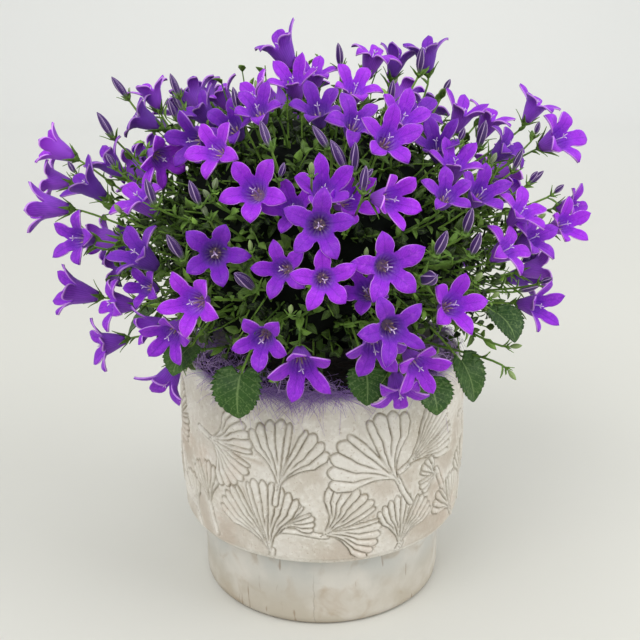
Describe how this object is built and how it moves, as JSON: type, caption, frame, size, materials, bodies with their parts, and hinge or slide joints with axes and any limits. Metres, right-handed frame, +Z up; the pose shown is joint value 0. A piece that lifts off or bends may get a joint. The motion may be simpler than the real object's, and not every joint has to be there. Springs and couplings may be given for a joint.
{
  "type": "potted bellflower",
  "caption": "Bellflower house plant in full bloom, a dome of violet star-mouthed bells over toothed leaves, in a whitewashed pot with a plain foot.",
  "frame": {"origin": "centre of the pot's flat base, on the surface it stands on", "axes": "+Z up along the pot's axis, -Y towards the front of the plant, +X to its right"},
  "size_m": [0.2806, 0.2515, 0.2867],
  "materials": {
    "pot": "matte",
    "soil": "matte",
    "fibre": "matte",
    "leaves": "satin",
    "petals": "satin"
  },
  "bodies": {
    "root": {"pot": "pot", "soil": "soil", "fibre_collar": "fibre", "foliage": "leaves", "blooms_01": "petals", "blooms_02": "petals", "blooms_03": "petals", "blooms_04": "petals", "blooms_05": "petals", "blooms_06": "petals", "blooms_07": "petals", "blooms_08": "petals", "blooms_09": "petals", "blooms_10": "petals", "blooms_11": "petals", "blooms_12": "petals", "blooms_13": "petals", "blooms_14": "petals", "blooms_15": "petals", "blooms_16": "petals", "blooms_17": "petals", "blooms_18": "petals", "blooms_19": "petals", "blooms_20": "petals", "blooms_21": "petals", "blooms_22": "petals", "blooms_23": "petals", "blooms_24": "petals", "blooms_25": "petals", "blooms_26": "petals", "blooms_27": "petals", "blooms_28": "petals", "blooms_29": "petals", "blooms_30": "petals", "blooms_31": "petals", "blooms_32": "petals", "blooms_33": "petals", "blooms_34": "petals", "blooms_35": "petals", "blooms_36": "petals", "blooms_37": "petals", "blooms_38": "petals", "blooms_39": "petals", "blooms_40": "petals", "blooms_41": "petals", "blooms_42": "petals", "blooms_43": "petals", "blooms_44": "petals", "blooms_45": "petals", "blooms_46": "petals", "blooms_47": "petals", "blooms_48": "petals", "blooms_49": "petals", "blooms_50": "petals", "blooms_51": "petals", "blooms_52": "petals", "blooms_53": "petals", "blooms_54": "petals", "blooms_55": "petals", "blooms_56": "petals"}
  },
  "joints": []
}
